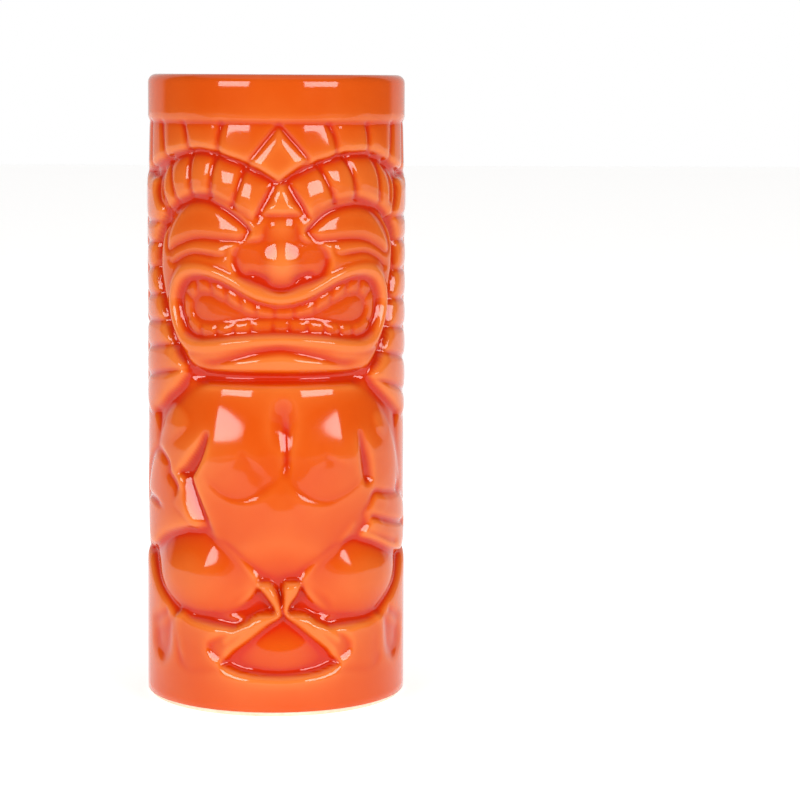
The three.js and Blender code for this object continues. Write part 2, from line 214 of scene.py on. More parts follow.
def gem(corners, base, slopes, crest):
    """A form cut like a gem: each side rises inwards from base at its own slope, to a flat crest."""
    line = np.array(corners + corners[:1], float)
    where, s, z = patch(line, 0)
    top = np.full(s.shape, float(crest))
    for a, b, slope in zip(line, line[1:], slopes):
        d = b - a
        inward = (d[0] * (z - a[1]) - d[1] * (s - a[0])) / math.hypot(*d)
        top = np.minimum(top, base + np.where(inward > 0, slope, 4) * inward)
    relief[where] = np.maximum(relief[where], top)


def taper(along, ends):
    """1 along a line, and falling away over a share of it at its start and at its end."""
    fade = np.ones(along.shape)
    if ends[0]:
        fade *= smooth(along / ends[0])
    if ends[1]:
        fade *= smooth((1 - along) / ends[1])
    return fade


def cut(points, depth, width, ends=(0, 0)):
    """A groove along a line."""
    line = traced(points)
    where, s, z = patch(line, width * 3)
    r, _, along = nearest(line, s, z)
    relief[where] -= depth * np.exp(-((r / width) ** 2)) * taper(along, ends)


def seam(points, depth, width):
    """A groove between two raised forms, which round off towards it."""
    cut(points, depth, width)
    cut(points, depth * 0.35, width * 4)


def bead(points, height, width, ends=(0.1, 0.1)):
    """A thin raised line."""
    cut(points, -height, width, ends)


def under(points, depth, reach, ends=(0.15, 0.15), crisp=0.6):
    """A crease that drops to the right of a line, as it runs, and comes back up over a reach."""
    line = traced(points)
    where, s, z = patch(line, reach * 3.5)
    r, side, along = nearest(line, s, z)
    off = -side * r
    drop = smooth(off / crisp + 0.5) * np.exp(-np.maximum(off, 0) / reach)
    relief[where] -= depth * drop * taper(along, ends)


def swell(at, size, height, turn=0):
    """A soft round swelling; size is how far it reaches along and across."""
    reach = max(size)
    corners = np.array([(at[0] - reach, at[1] - reach), (at[0] + reach, at[1] + reach)])
    where, s, z = patch(corners, 0)
    c, n = math.cos(math.radians(turn)), math.sin(math.radians(turn))
    u = ((s - at[0]) * c + (z - at[1]) * n) / size[0]
    v = ((z - at[1]) * c - (s - at[0]) * n) / size[1]
    relief[where] += height * np.clip(1 - u * u - v * v, 0, 1) ** 2


def both(tool, points, *values, **more):
    """The same on each side of the middle line."""
    tool(points, *values, **more)
    tool(mirrored(points) if isinstance(points, list) else (-points[0], points[1]), *values, **more)


def softened(field, reach):
    """A field blurred over a reach in mm. It joins up round the mug."""
    count = int(3 * reach / PITCH) + 1
    weights = np.exp(-((np.arange(-count, count + 1) * PITCH / reach) ** 2) / 2)
    weights /= weights.sum()
    across = sum(w * np.roll(field, k - count, 1) for k, w in enumerate(weights))
    padded = np.pad(across, ((count, count), (0, 0)), mode="edge")
    return sum(w * padded[k : k + field.shape[0]] for k, w in enumerate(weights))


def lowest(field, reach):
    """The lowest of a field within a reach in mm."""
    count = int(reach / PITCH) + 1
    rows = field
    for k in range(1, count + 1):
        up = np.vstack([field[k:], np.repeat(field[-1:], k, 0)])
        down = np.vstack([np.repeat(field[:1], k, 0), field[:-k]])
        rows = np.minimum(rows, np.minimum(up, down))
    out = rows
    for k in range(1, count + 1):
        out = np.minimum(out, np.minimum(np.roll(rows, k, 1), np.roll(rows, -k, 1)))
    return out


# ---------- The trunk, which lies behind the rest: a flat chest, wide across ----------

TRUNK = [
    (0, 81.4), (14, 81.3), (22, 80.8), (27.2, 77.8), (30.6, 75), (33.4, 71.4), (36, 67), (38, 62), (39, 57),
    (38, 50), (30, 45), (22, 42), (14.6, 41), (9, 37.6), (4.6, 34.4), (0, 33),
]
form(whole(TRUNK), GROUND, edge=1.1, crown=0.4, shoulder=4)
swell((0.3, 58), (34, 27), 0.9)
swell((30, 60), (30, 22), 2.15)
swell((-29, 60), (30, 22), 2.15)
swell((0.6, 46), (18, 17), 0.8)

# ---------- The back: the trunk, and a fall of hair in strands ----------

form(behind([(BACK, 78), (60, 78), (40, 72), (46, 40), (60, 35), (80, 34), (BACK, 34)]),
     -0.9, edge=2, crown=0.6, shoulder=14)
cut([(BACK, 71), (BACK, 60), (BACK, 42)], 0.9, 1.4, (0.2, 0.2))
form(behind([(BACK, 133), (50, 133), (50, 75), (64, 73), (78, 75), (92, 73), (BACK, 75)]), -0.9, edge=1.4)
for count, strand in enumerate(np.linspace(54, 2 * BACK - 54, 11)):
    tip = 76.5 if count % 2 else 72.5
    form([(strand - 4.4, 132), (strand + 4.4, 132), (strand + 4.5, 100), (strand + 3.9, tip + 5),
          (strand, tip), (strand - 3.9, tip + 5), (strand - 4.5, 100)],
         -1.5, edge=0.9, crown=1.3, shoulder=3.6)
    for wave in range(5):
        z = 122.5 - 9.2 * wave
        cut([(strand - 4.4, z), (strand, z - 1.2), (strand + 4.4, z)], 0.6, 0.5)

# ---------- The plaits beside the face ----------

PLAIT_LEFT = [
    (-39.4, 130.4), (-44, 130.8), (-50, 131.2), (-50, 100), (-50, 74), (-44, 71.6), (-40, 73.3),
    (-36.7, 74.9), (-33.4, 77.4), (-29, 80.6), (-26.6, 84.4), (-29.6, 88), (-32.6, 92.6), (-35, 97),
    (-37, 101), (-39.2, 105.6), (-40.3, 110), (-39.8, 115), (-37.4, 119), (-35.4, 122.6),
]
PLAIT_RIGHT = [
    (38.6, 130.4), (44, 130.8), (50, 131.2), (50, 100), (50, 72), (44, 70.6), (40, 72.5), (34, 76.2),
    (30, 79), (26.6, 82.4), (29.4, 86), (32, 90), (34.2, 95), (35.8, 101), (37, 106), (38.2, 111),
    (37.8, 116), (36, 120), (34.6, 123),
]
JOINTS_LEFT = (
    (-35.2, 120.0, 119.6), (-37, 114.9, 114.5), (-38.4, 108.9, 107.8), (-36, 102.3, 101.1),
    (-33.6, 95.6, 95.0), (-30.4, 90.2, 88.2), (-26.6, 84.4, 81.0),
)
JOINTS_RIGHT = (
    (35, 121.4, 121.0), (36.6, 115.5, 115.0), (36.8, 108.0, 108), (35.0, 101.0, 100.4),
    (33.4, 94.2, 93.0), (30.4, 88.2, 85.2), (27.4, 81.8, 76.6),
)
for outline in (PLAIT_LEFT, PLAIT_RIGHT):
    form(outline, -1.25, edge=1.0, crown=1.15, shoulder=3.4)
for inner, z_inner, z_outer in JOINTS_LEFT:
    seam([(inner, z_inner), (-49, z_outer)], 0.7, 0.5)
for inner, z_inner, z_outer in JOINTS_RIGHT:
    seam([(inner, z_inner), (49, z_outer)], 0.7, 0.5)

# ---------- The headband: one row of tiles round the head ----------

BAND_LOW_LEFT = [
    (-62, 131.2), (-48, 132.2), (-42, 133.8), (-35, 135.9), (-30, 137.1), (-25, 137.9), (-21.8, 138.3),
    (-18.5, 137.8), (-14.8, 136.8), (-10.2, 135.4), (-7.2, 133.6), (0, 130.4),
]
BAND_LOW_RIGHT = [
    (62, 131.2), (48, 132), (42, 133), (38.5, 133.4), (34.1, 135.1), (31.2, 136.1), (26.5, 137.3),
    (22.5, 137.6), (17.9, 137.4), (14.6, 136.8), (10.6, 135.6), (6.4, 134.2),
]
both(form, [(60, 131.2), (103, 131.2), (103, 144.8), (60, 144.8)], -0.85, edge=1.0, corners=True)
form(BAND_LOW_LEFT + BAND_LOW_RIGHT[::-1] + [(62, 144.8), (0, 144.9), (-62, 144.8)],
     -1.0, edge=1.0, crown=0.25, shoulder=2.4, corners=True, lean=(139, 0.025))
BAND_SEAMS = [
    [(-15.2, 144.2), (-16.1, 141), (-16.5, 137.6)], [(-27.1, 144.2), (-26.2, 141), (-25.6, 137.8)],
    [(-36.5, 144.2), (-36, 140), (-35.2, 136)], [(-45, 144.3), (-44.6, 133)],
    [(12.3, 144.2), (14, 141), (14.9, 137.0)], [(24.0, 144.2), (24.7, 141), (24.8, 137.4)],
    [(35.2, 144.3), (34.9, 140), (34.4, 135.4)], [(45, 144.3), (44.4, 133)],
]
for line in BAND_SEAMS:
    seam(line, 0.62, 0.5)
for line in ([(s, 144.3), (s, 131.8)] for s in (54, 63.5, 73, 82.6, 92.2)):
    both(seam, line, 0.62, 0.5)
seam([(BACK, 144.3), (BACK, 131.8)], 0.62, 0.5)

# ---------- The head ----------

HEAD_LEFT = [
    (-30.1, 123.8), (-34.1, 119.7), (-37.1, 117), (-38.5, 114), (-39, 110), (-38.4, 106.4), (-36.7, 102.4),
    (-34.7, 98.4), (-32.8, 94.8), (-30.1, 91.1), (-27.4, 88.1), (-24.8, 85.8), (-21.5, 84.5), (-14, 84.1),
]
HEAD_RIGHT = [
    (30.1, 122.6), (33.3, 120.0), (36, 117.2), (37.2, 113.9), (37, 109.5), (35.6, 105), (34.6, 101.2),
    (33.4, 97.2), (31.8, 93), (29.8, 89.2), (27, 86), (24.4, 84.6), (20.5, 84), (14, 83.9),
]
form(HEAD_LEFT + [(0, 83.9)] + HEAD_RIGHT[::-1] + [(15, 127), (0, 124), (-15, 127)],
     -2.1, edge=1.1, crown=1.3, shoulder=6.5)

# ---------- The brow: a roll of tiles over each eye ----------

BROW_TOP_LEFT = [
    (-1.2, 130.2), (-7.5, 133.6), (-10.2, 134.9), (-14.8, 136.3), (-18.5, 137.2), (-22, 137.7), (-27, 137),
    (-32, 135.6), (-36.4, 133.4), (-39.4, 130),
]
BROW_LOW_LEFT = [
    (-39.2, 126.6), (-36.4, 123.6), (-33.2, 123.4), (-30.1, 125), (-27.4, 126), (-24.8, 126.7),
    (-21.8, 127), (-18.5, 126.7), (-14.8, 125.3), (-11.9, 123.8), (-8.5, 121.5), (-6.2, 120.4),
    (-5.2, 121.6),
]
BROW_TOP_RIGHT = [
    (1.4, 130.4), (6.4, 133.6), (10.3, 135.1), (14.6, 136.2), (18.5, 137), (22.5, 137.1), (27, 136.6),
    (31.4, 135), (35.6, 132.8), (38.4, 130),
]
BROW_LOW_RIGHT = [
    (38.6, 127.5), (36.4, 122.6), (34.4, 121.2), (32.4, 122.4), (29.8, 123.9), (25.5, 125.3), (22.5, 126),
    (19.2, 126), (15.9, 125.5), (12.9, 124.5), (9.3, 122.5), (7.6, 121.2), (6.2, 121.4),
]
BROW_SEAMS = [
    [(-8.9, 134.6), (-10.6, 129.6), (-12.4, 124.4)], [(-17.2, 137), (-18.3, 132), (-18.9, 126.6)],
    [(-25.4, 137.4), (-25.2, 132), (-24.8, 126.6)], [(-33.6, 135.2), (-32.2, 130), (-30.2, 125.4)],
    [(-37.6, 132), (-36.6, 128), (-34.6, 124.6)], [(9.6, 134.9), (12.2, 130), (14.4, 125.4)],
    [(17.2, 136.8), (19.6, 132), (20.9, 126.4)], [(27.6, 136.4), (29.2, 132), (29.6, 125.4)],
    [(32.6, 134.8), (34.6, 130.6), (34.4, 125)],
]
for outline in (BROW_TOP_LEFT + BROW_LOW_LEFT, BROW_TOP_RIGHT + BROW_LOW_RIGHT):
    form(outline, GROUND, edge=0.8, crown=1.75, shoulder=5.2, lean=(129.5, 0.09))
for line in BROW_SEAMS:
    seam(line, 0.75, 0.48)

# The raised rim along the lower edge of the brow.
bead([(-33, 125.2), (-30.1, 126.4), (-27.4, 127.5), (-24.8, 128.1), (-21.8, 128.4), (-18.5, 128.1),
      (-14.8, 126.8), (-11.9, 125.3), (-8.6, 123.2)], 0.2, 0.6)
bead([(33, 123.9), (29.8, 125.5), (25.5, 126.9), (22.5, 127.5), (19.2, 127.5), (15.9, 127), (12.9, 126),
      (9.3, 124)], 0.2, 0.6)

# ---------- The jewel on the forehead and the bridge under it ----------

form([(-0.5, 144.4), (-8.5, 134.9), (-0.5, 129.4), (7.5, 135.6)], -1.75, edge=0.7, corners=True,
     keep=np.minimum)
gem([(-0.5, 143.4), (-7.8, 134.9), (-0.5, 130.4), (6.7, 135.6)], -0.85, (0.29, 1.2, 1.2, 0.29), -0.15)
form([(-1.9, 130.2), (2.0, 130.3), (5.2, 125.6), (7.4, 121.9), (4.2, 123.2), (0.3, 123.7), (-3.4, 123.2),
      (-6.6, 121.6), (-4.6, 125.4)], -1.9, edge=0.8, corners=True)
gem([(-2.0, 130.4), (-6.4, 121.8), (0.4, 121.6), (7.2, 121.8), (2.2, 130.4)], -1.9,
    (0.6, 1, 1, 0.6, 1.4), -0.2)
bead([(-5.8, 122.4), (-3.2, 124.0), (0.3, 124.5), (4.0, 124.0), (6.6, 122.6)], 0.25, 0.7)

# ---------- The eyes ----------

LID_LEFT = [
    (-7.6, 118.6), (-9.4, 120.8), (-12.4, 122.9), (-15.5, 124.6), (-18.8, 125.7), (-22, 126),
    (-26, 125.4), (-29.6, 123.6), (-32.8, 120.4), (-34.4, 116.4), (-33.6, 112.8), (-30.1, 114),
    (-26.8, 115), (-23.5, 115.8), (-20.1, 116), (-16.8, 115.9), (-13.5, 115.8), (-10, 116),
]
LID_RIGHT = [
    (6.4, 118.4), (8.6, 120.9), (11.4, 123), (15, 124.4), (19, 125), (23, 124.7), (26.6, 123.6),
    (30.4, 121), (33.4, 117), (33.8, 113), (31.6, 112.4), (29.8, 113.3), (26.5, 114.7), (23.2, 115.7),
    (19.9, 116), (16.6, 116), (12.9, 115.8), (9.4, 116),
]
LOWER_LID_LEFT = [
    (-13.2, 114.8), (-15, 115.1), (-18, 115.2), (-23.5, 115), (-26.8, 114.2), (-31, 112.8), (-33, 111),
    (-31.4, 109.8), (-28.1, 111.6), (-24.8, 112.7), (-22.5, 112.9), (-17.4, 112.5), (-14.2, 112.2),
]
LOWER_LID_RIGHT = [
    (13.6, 114.8), (16.6, 115.2), (21, 115.2), (26.5, 113.9), (30.4, 112), (32.6, 109.9), (31.8, 108.9),
    (29.8, 110.9), (27.2, 112.2), (23.9, 113.2), (20.6, 113.2), (17, 112.8), (14.6, 112.6),
]
for outline in (LID_LEFT, LID_RIGHT):
    form(outline, -2.7, edge=0.9, crown=1.85, shoulder=3.2, lean=(118, 0.11))
for outline in (LOWER_LID_LEFT, LOWER_LID_RIGHT):
    form(outline, -1.45, edge=0.9, crown=0.8, shoulder=1.8)

# The crease under the lower lid.
cut([(-32, 109.6), (-28.1, 111.3), (-24.8, 112.4), (-22.5, 112.6), (-17.4, 112), (-14.2, 111.2)],
    0.5, 0.6, (0.1, 0.3))
cut([(32.4, 108.6), (29.8, 110.6), (27.2, 111.9), (23.9, 112.9), (20.6, 112.9), (17.4, 112.4),
     (14.6, 111.6)], 0.5, 0.6, (0.1, 0.3))

# ---------- The mouth: lips round a ring of teeth ----------

LIPS = [
    (0, 103.8), (4, 104.2), (7.4, 105.4), (10.6, 107.2), (13.8, 108.8), (17, 110), (20.4, 110.8),
    (23.8, 111), (27.4, 110.4), (30.2, 108.6), (32.4, 105.4), (33.3, 102), (33, 98.4), (31.6, 94.8),
    (29.3, 91.4), (26, 88.9), (21.8, 88.3), (16, 88.8), (9, 90), (0, 90.9),
]
GUM = [
    (0, 101.0), (4, 101.6), (7.4, 102.7), (10.4, 104.2), (13.6, 105.8), (17, 107.0), (20.4, 107.7),
    (23.8, 107.6), (27, 106.4), (29, 104.2), (29.9, 101.4), (29.6, 98.6), (28.4, 95.6), (26.4, 93),
    (23, 91.8), (18, 92), (10, 93), (0, 93.5),
]
TEETH = [
    (0, 100.1), (3.6, 100.3), (6.9, 101.0), (10.2, 102.9), (13.5, 104.5), (16.8, 105.8), (20.1, 106.6),
    (22.8, 106.7), (25.5, 105.4), (27.2, 102.7), (27.5, 99.4), (26.5, 96.4), (24.5, 94.0), (22, 93.0),
    (18.5, 92.9), (13, 93.4), (7, 94.1), (0, 94.5),
]
BITE = [
    (0, 97.7), (5.2, 98.1), (8.5, 98.9), (11.9, 100.5), (15.2, 102.1), (18.5, 103.3), (21.5, 103.6),
    (23.8, 102.4), (24.8, 100), (24.2, 97.5), (22.3, 96.1), (18, 95.6), (13, 96.2), (8.5, 96.8), (4, 97.1),
    (0, 97.2),
]
TEETH_SEAMS = (
    ((-1.5, 100.3), (-1.5, 97.6)), ((3.6, 100.3), (3.5, 97.6)), ((9.2, 102.4), (8.8, 98.9)),
    ((13.8, 104.8), (13.2, 101)), ((18.2, 106.2), (17.6, 102.9)), ((22.4, 106.8), (22, 103.4)),
    ((26.8, 104), (24.0, 101.8)), ((-6.6, 101.2), (-6.2, 98.2)), ((-10.6, 103.2), (-10, 99.6)),
    ((-14.6, 105.1), (-14, 101.4)), ((-19, 106.4), (-18.2, 103)), ((-23.2, 106.6), (-22.6, 103.2)),
    ((-26.8, 103.4), (-24.4, 101.4)), ((-21.8, 96), (-21.6, 92.9)), ((-16.8, 95.6), (-16.9, 93)),
    ((-12.2, 96.2), (-12.3, 93.3)), ((-7.4, 96.8), (-7.4, 93.9)), ((-1.9, 97.0), (-1.9, 94.2)),
    ((2.3, 97), (2.3, 94.2)), ((7, 96.8), (7, 94)), ((11.6, 96.3), (11.7, 93.4)), ((15.9, 95.8), (16, 93)),
    ((19.9, 95.6), (20, 92.9)), ((-25.4, 97.6), (-27, 96.4)), ((24.8, 97.2), (26.6, 95.8)),
)
form(whole(LIPS), -1.5, edge=1.0, crown=1.4, shoulder=3.0)
form(whole(GUM), -2.1, edge=2.4, keep=np.minimum)
form(whole(TEETH), -1.6, edge=0.8)
form(whole(BITE), -2.3, edge=1.1, crown=0.3, shoulder=3.2)
for a, b in TEETH_SEAMS:
    cut([a, b], 0.45, 0.4, (0.2, 0.1))

# ---------- The chin ----------

cut([(-25.6, 86.4), (-18.5, 86.4), (-15.2, 87), (-10.2, 88.2), (-5.2, 89.3), (0, 89.8), (4.6, 89.2),
     (11.3, 87.8), (15.2, 86.8), (19.2, 86.3), (25.2, 86.6)], 1.15, 1.3, (0.15, 0.15))

# ---------- The nose ----------

NOSE = [
    (0.2, 121.6), (-2.4, 121), (-4, 119.2), (-4.8, 116.8), (-8.4, 116.3), (-11, 115), (-12.3, 112.6),
    (-12.1, 110), (-10.8, 107.8), (-8.6, 106.6), (-5.4, 105.4), (0.1, 104.0), (5.6, 105.4),
    (8.8, 106.4), (11.2, 107.6), (12.5, 109.8), (12.6, 112.2), (11.2, 114.6), (8.6, 116), (5.4, 116.6),
    (4.4, 119.2), (2.8, 121),
]
form(NOSE, -2.1, edge=1.2, crown=0.5, shoulder=2.4, lean=(111, -0.08))
swell((0.2, 118.5), (4.2, 8.0), 0.5)
swell((0.3, 110.2), (12.0, 7.5), 0.5)
swell((0.3, 110.6), (5.6, 6.2), 1.15)
cut([(-9.6, 107.0), (-7.4, 108.2), (-4.6, 107.4), (-1.6, 106.2)], 0.7, 0.9, (0.25, 0.4))
cut([(9.8, 107.0), (7.6, 108.2), (4.8, 107.4), (1.8, 106.2)], 0.7, 0.9, (0.25, 0.4))

# ---------- The neck, the breast muscles and the belly ----------

cut([(-27, 82.9), (-14, 82.9), (0, 82.9), (14, 82.9), (27, 82.9)], 1.8, 2.0, (0.1, 0.1))
bead([(-24, 80.2), (-12, 80.8), (0, 80.9), (12, 80.8), (24, 80.2)], 0.35, 0.8)
BREAST_LEFT = [
    (0.6, 60.6), (-1.2, 57.9), (-3.6, 55.8), (-6.9, 53.8), (-10.2, 53.1), (-13.5, 53.6), (-15.8, 54.7),
    (-18.6, 57.2), (-20.1, 59.8), (-21.4, 62.6),
]
BREAST_RIGHT = [
    (23.4, 65), (23.4, 60.4), (21.9, 57.4), (19.2, 55.1), (15.9, 53.5), (12.9, 52.5), (9.9, 52.6),
    (6.6, 53.7), (4, 55.8), (2, 58.6), (0.8, 60.6),
]
under(BREAST_LEFT, 0.3, 12, (0.25, 0.3), 2.0)
under(BREAST_RIGHT, 0.3, 12, (0.3, 0.25), 2.0)
cut(BREAST_LEFT, 0.08, 0.8, (0.2, 0.3))
cut(BREAST_RIGHT, 0.08, 0.8, (0.3, 0.2))
swell((0.8, 72), (4.4, 8.4), -0.75)
cut([(1.3, 74), (1.6, 69), (1.6, 63), (1.2, 57.5)], 0.65, 0.75, (0.3, 0.35))
swell((0, 30), (17, 14), -1.8)

# ---------- The arms ----------

UPPER_ARM_LEFT = [
    (-22.6, 72), (-27, 75.2), (-31.2, 75.6), (-35.6, 72.8), (-39, 68.4), (-42.6, 63), (-44.6, 57),
    (-44.9, 51.6), (-34, 50.6), (-31.2, 53.6), (-30.4, 57.4), (-27, 61.6), (-23.4, 66),
]
ARMPIT_LEFT = [
    (-19.4, 69.0), (-22.0, 65.4), (-25.8, 61.0), (-28.0, 58.8), (-24.0, 58.4), (-21.6, 61.6), (-20.0, 65.4),
]
FOREARM_LEFT = [
    (-31.6, 58.6), (-29.5, 57.0), (-26.4, 51.5), (-23.4, 46.4), (-24.6, 45.2), (-30.1, 43.6),
    (-34, 42.2), (-40, 39), (-46, 37.4), (-50, 40), (-50, 52), (-44, 61), (-38, 64), (-32, 61),
]
form(UPPER_ARM_LEFT, -2.2, edge=2.6, crown=1.95, shoulder=9, keep=np.maximum)
form(ARMPIT_LEFT, -2.2, edge=1.8)
form(FOREARM_LEFT, -1.6, edge=1.4, crown=1.4, shoulder=5)
form([(-18.0, 44.6), (-24.2, 59.0), (-27.0, 59.2), (-26.0, 54), (-22, 44.8)], -2.2, edge=1.4, corners=True)
gem([(-19.0, 45.0), (-25.0, 58.4), (-28.6, 59.4), (-35, 50), (-26, 44.2)], -1.85,
    (0.42, 0.6, 0.5, 0.5, 1.2), -0.1)
cut([(-48, 51.2), (-41.5, 50.8), (-37, 49.8), (-34, 48.8)], 0.9, 0.7, (0.0, 0.4))
cut([(-18.4, 45.6), (-25, 45.0), (-30.1, 43.5), (-33.4, 42.4), (-36.7, 40.9), (-40, 39), (-45, 38)],
    1.1, 0.7, (0.1, 0.0))

UPPER_ARM_RIGHT = [
    (23.4, 70), (26.6, 74.6), (30.4, 74.6), (34.6, 71.8), (38.8, 67.6), (42.4, 62.4), (44.6, 57),
    (45.6, 52.4), (34, 53.2), (28.6, 54.8), (26, 57.4), (25, 62),
]
ARMPIT_RIGHT = [
    (21.8, 69.0), (23.4, 65.0), (24.8, 61.0), (25.0, 57.0), (23.6, 56.4), (22.4, 60.4), (21.8, 64.6),
]
FOREARM_RIGHT = [
    (26.4, 54.4), (30, 53.9), (34, 53.4), (39.6, 52.6), (48, 50), (50, 44), (48, 37.4), (40, 36.4),
    (34, 37.6), (29, 39.4), (25.8, 40.6), (22.4, 42.4), (22.6, 44.6), (24.2, 46.4), (22.8, 48.6),
    (24.4, 51.6),
]
form(UPPER_ARM_RIGHT, -2.2, edge=2.6, crown=1.95, shoulder=9, keep=np.maximum)
form(ARMPIT_RIGHT, -1.35, edge=2.8)
form(FOREARM_RIGHT, -1.5, edge=0.9, crown=1.4, shoulder=3.8)
cut([(24.6, 48.2), (26.5, 47.8), (29.5, 46.9), (34.5, 45.7), (40, 44.6), (46, 44)], 1.0, 0.6, (0.1, 0.1))
cut([(23.6, 44.2), (26.2, 43.6), (29.5, 42.4), (34.5, 40.8), (39, 39.6)], 0.7, 0.6, (0.1, 0.2))
swell((28.0, 51.0), (5.6, 3.6), 0.4)
swell((27.0, 46.0), (4.6, 2.6), 0.4)
swell((25.6, 43.0), (4.4, 2.4), 0.3)

# ---------- The thighs ----------

THIGH_LEFT = [
    (-17.4, 43.8), (-13.6, 42.2), (-10.2, 39.6), (-7.4, 36.8), (-5.2, 33.6), (-6.8, 30.2), (-10.2, 27.2),
    (-14, 25.4), (-18, 24.9), (-22, 24.9), (-26.8, 25.1), (-30.1, 25.4), (-33.4, 26.5), (-36.7, 28.4),
    (-40.4, 31.2), (-43.6, 34.4), (-44.6, 37.2), (-40, 39.8), (-34, 42.8), (-27, 44.8), (-21, 45),
]
THIGH_RIGHT = [
    (20.6, 43.4), (15.2, 42), (11, 39.6), (8, 37.0), (5.2, 33.6), (6.8, 30.2), (9.6, 27.2), (13, 25.2),
    (18, 24.4), (23, 23.6), (27, 23.4), (30.6, 24.8), (34, 27), (38, 29.6), (42, 33), (44, 36), (40, 37.4),
    (34, 39), (28, 41.4), (24, 42.8),
]
for outline in (THIGH_LEFT, THIGH_RIGHT):
    form(outline, GROUND, edge=1.2, crown=0.4, shoulder=4)
both(swell, (26, 32.5), (17, 12.5), 2.1)
both(swell, (37, 33), (12, 9), 0.5)
bead([(-18.4, 44.2), (-14, 41.4), (-10.6, 38.6), (-7.8, 35.6), (-5, 33)], 0.3, 0.8, (0.1, 0.2))
bead([(21.4, 48), (18.6, 44.6), (15.4, 41.4), (11.4, 39), (8, 36), (5.4, 33)], 0.3, 0.8, (0.1, 0.2))

# ---------- The base, and the flanks that run down into it ----------

LEDGE = [
    (0, 10.0), (9.6, 10.9), (15.4, 12.6), (20, 12.4), (24, 12), (26.6, 12.6), (27.6, 17), (28.4, 22),
    (32.4, 26.0), (40, 31), (48, 36.6), (62, 38), (115, 38), (115, -20), (0, -20),
]
form(whole(LEDGE), -1.3, edge=1.2, crown=1.3, shoulder=3.4)
FLANK_LEFT = [
    (-24.5, 23.4), (-27.6, 24.6), (-30.0, 23), (-29.6, 18), (-28.4, 13), (-26, 8), (-19, 8.6), (-14, 10.4),
    (-13.2, 14.6), (-12.6, 18.4), (-11.6, 21.4), (-18, 22.4),
]
FLANK_RIGHT = [
    (25.5, 22.6), (28.2, 23.4), (30.6, 22), (30.2, 18), (29.8, 13.4), (27, 8), (19, 8.6), (14, 10.4),
    (13.2, 14.6), (12.8, 18.4), (11.8, 21.2), (18.2, 22),
]
for outline in (FLANK_LEFT, FLANK_RIGHT):
    form(outline, -0.6, edge=2.0, crown=0.6, shoulder=6, keep=np.maximum)
both(form, [(31.6, 22), (35, 20.6), (40, 18.4), (39.6, 14), (35.6, 11.4), (32.6, 13), (31.4, 17)], -0.9,
     edge=4.4, keep=np.minimum)
both(cut, [(32.5, 24.0), (37.5, 21.6), (43.5, 19.4)], 0.6, 1.2, (0.1, 0.5))
bead([(-29.2, 24.4), (-28, 19), (-26.0, 12)], 0.5, 0.9, (0.1, 0.4))
bead([(29, 23.4), (29, 18), (28.6, 12)], 0.5, 0.9, (0.1, 0.4))

# ---------- The shins, which cross at the ankles, and the feet ----------

SHIN_LEFT = [(-6.2, 32.4), (-2.6, 32.8), (-0.7, 30), (0.3, 25.2), (-0.5, 24.6), (-2.2, 27.4), (-4.2, 30)]
SHIN_RIGHT = [(1.2, 32.8), (5.4, 32.8), (4.8, 30.2), (2.6, 27.2), (1.6, 24.8), (0.9, 25.5), (0.8, 29)]
ANKLE_HOLLOW = [(4.8, 31.8), (8.4, 31.0), (12.0, 28.2), (13.2, 25.6), (6.4, 25.0), (3.0, 26.6), (4.2, 29.2)]
FOOT_LEFT = [
    (0.4, 25.0), (-3.6, 22.4), (-8.2, 18.9), (-12.6, 15.6), (-15.4, 13.6), (-18.2, 15.2), (-18.8, 17.4),
    (-16.6, 19.0), (-13.4, 20.6), (-9.2, 23.2), (-5, 25.2),
]
FOOT_RIGHT = [
    (1.4, 25.0), (4.4, 22.6), (8.8, 19.2), (12.6, 16.0), (15.2, 13.6), (18.0, 14.8), (18.8, 17.0),
    (17.2, 19.4), (14.4, 21.0), (10.8, 22.8), (5.8, 25.2),
]
form(mirrored(ANKLE_HOLLOW), -2.3, edge=2.0, keep=np.minimum)
form([(s + 0.8, z) for s, z in ANKLE_HOLLOW], -2.3, edge=2.0, keep=np.minimum)
for outline in (SHIN_LEFT, SHIN_RIGHT):
    form(outline, -1.9, edge=0.9, crown=0.8, shoulder=1.8)
for outline in (FOOT_LEFT, FOOT_RIGHT):
    form(outline, -0.85, edge=1.4, crown=0.2, shoulder=2.6)

# The edges of the feet, and the hollows over them and between them.
bead([(0.0, 24.9), (-4.0, 22.4), (-8.6, 19.1), (-14.6, 14.9)], 0.45, 0.75, (0.05, 0.1))
bead([(1.8, 24.9), (5.0, 22.6), (9.2, 19.4), (14.6, 15.1)], 0.45, 0.75, (0.05, 0.1))
bead([(-8.0, 23.4), (-11.4, 20.8), (-15.2, 17.4)], 0.4, 0.8, (0.1, 0.2))
bead([(9.6, 22.8), (12.6, 20.6), (16.2, 17.4)], 0.4, 0.8, (0.1, 0.2))
form([(-7.6, 23.8), (-12.4, 21.8), (-17.4, 22.8), (-24, 23.6), (-18, 24.8), (-12, 24.8)], -2.3, edge=1.3)
form([(8.6, 23.8), (12.8, 21.8), (17.4, 22.4), (24, 22.8), (18, 24.0), (12, 24.4)], -2.3, edge=1.3)
form([(0.6, 24.2), (-7, 18.9), (-14.4, 13.7), (-15.2, 12.5), (-10.2, 11.0), (0, 10.2), (9.6, 11.0),
      (15.4, 12.5), (14.2, 13.9), (7.6, 18.9)], GROUND, edge=0.9, corners=True, keep=np.minimum)
swell((0, 12), (15, 9), 0.5)

# ---------------------------------------------------------------------------------------------------
# The relief as cast and glazed: the forms soften a little, and glaze rounds them further.

